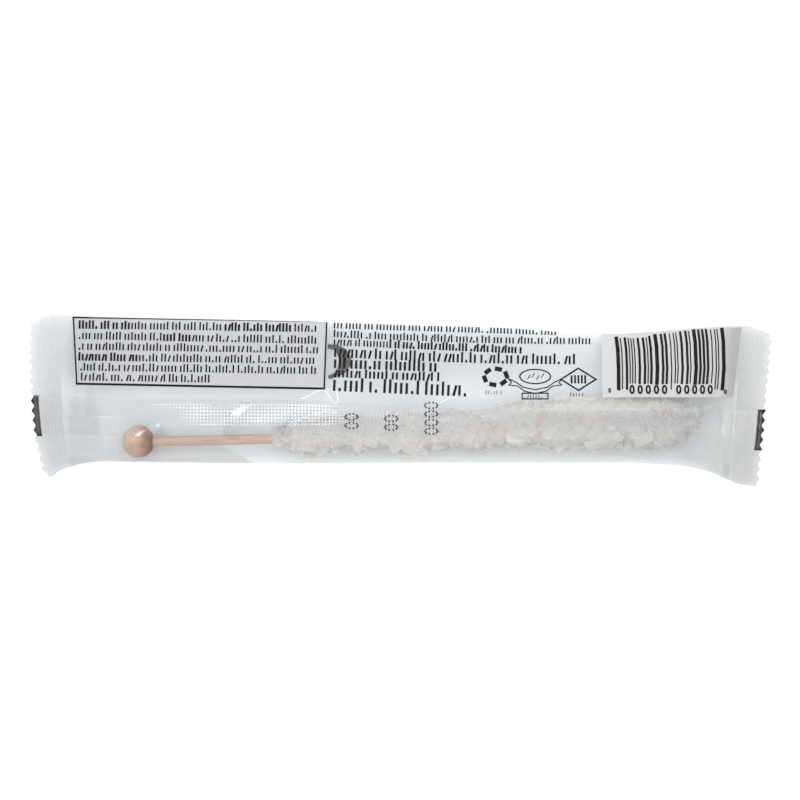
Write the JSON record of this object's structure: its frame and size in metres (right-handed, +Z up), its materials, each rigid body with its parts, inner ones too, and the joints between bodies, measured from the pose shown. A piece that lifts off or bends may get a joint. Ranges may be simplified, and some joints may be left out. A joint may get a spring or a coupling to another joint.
{
  "type": "rock candy stick",
  "caption": "Clear film pillow pack, crimped and zigzag-cut at both ends, lying seam up round a crystal sugar cluster on a wooden stick with a ball end.",
  "frame": {"origin": "middle of the pack's bounding box, on the surface that it lies on", "axes": "+X along the pack from the wooden ball's end to the candy's end, +Y across it away from the candy, +Z up out of the back with the long seam"},
  "size_m": [0.21, 0.0482, 0.0169],
  "materials": {
    "film": "clear glossy film, embossed at the seals",
    "white_ink": "white ink printed on film",
    "black_ink": "black ink printed on film",
    "wood": "bare turned birch",
    "candy": "cloudy sugar crystals"
  },
  "bodies": {
    "root": {"wrapper": "film"}
  },
  "joints": []
}
